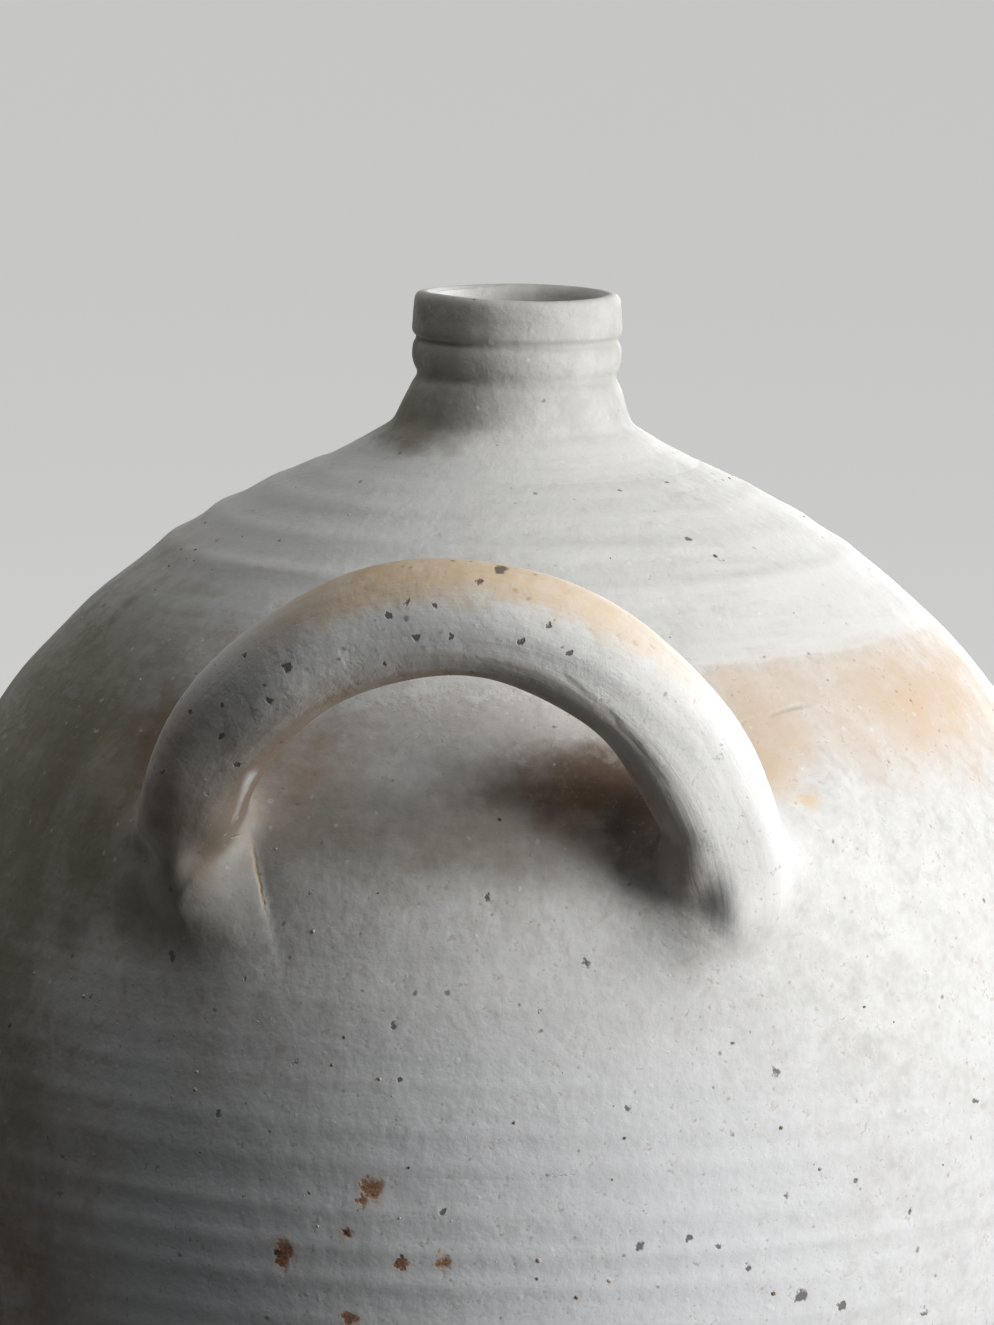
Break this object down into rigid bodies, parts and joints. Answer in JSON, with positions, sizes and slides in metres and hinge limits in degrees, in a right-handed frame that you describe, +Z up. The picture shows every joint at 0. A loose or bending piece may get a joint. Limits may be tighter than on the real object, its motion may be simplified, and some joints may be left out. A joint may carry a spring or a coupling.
{
  "type": "stoneware demijohn",
  "caption": "Large round-shouldered stoneware storage jar with a short banded neck and arched lug handles on the shoulder.",
  "frame": {"origin": "middle of the flat underside, on the surface that the jar stands on", "axes": "+Z up along the jar's axis; the front handle, the one in the picture, faces -Y; +X is to the right seen from the front"},
  "size_m": [0.3784, 0.394, 0.47],
  "materials": {
    "glazed_wall": "salt-glazed grey stoneware, satin",
    "glazed_lower_wall": "salt-glazed grey stoneware, satin, rust specks",
    "bare_foot": "bare fired stoneware, matt",
    "glazed_neck": "thin grey slip, matt",
    "glazed_handle": "flashed stoneware, satin",
    "root_clay": "smeared stoneware clay, satin"
  },
  "bodies": {
    "root": {"floor_disc": "bare_foot", "lower_body": "glazed_lower_wall", "shoulder": "glazed_wall", "neck": "glazed_neck", "front_handle": "glazed_handle", "front_left_root": "root_clay", "front_right_root": "root_clay", "rear_handle": "glazed_handle", "rear_left_root": "root_clay", "rear_right_root": "root_clay"}
  },
  "joints": []
}
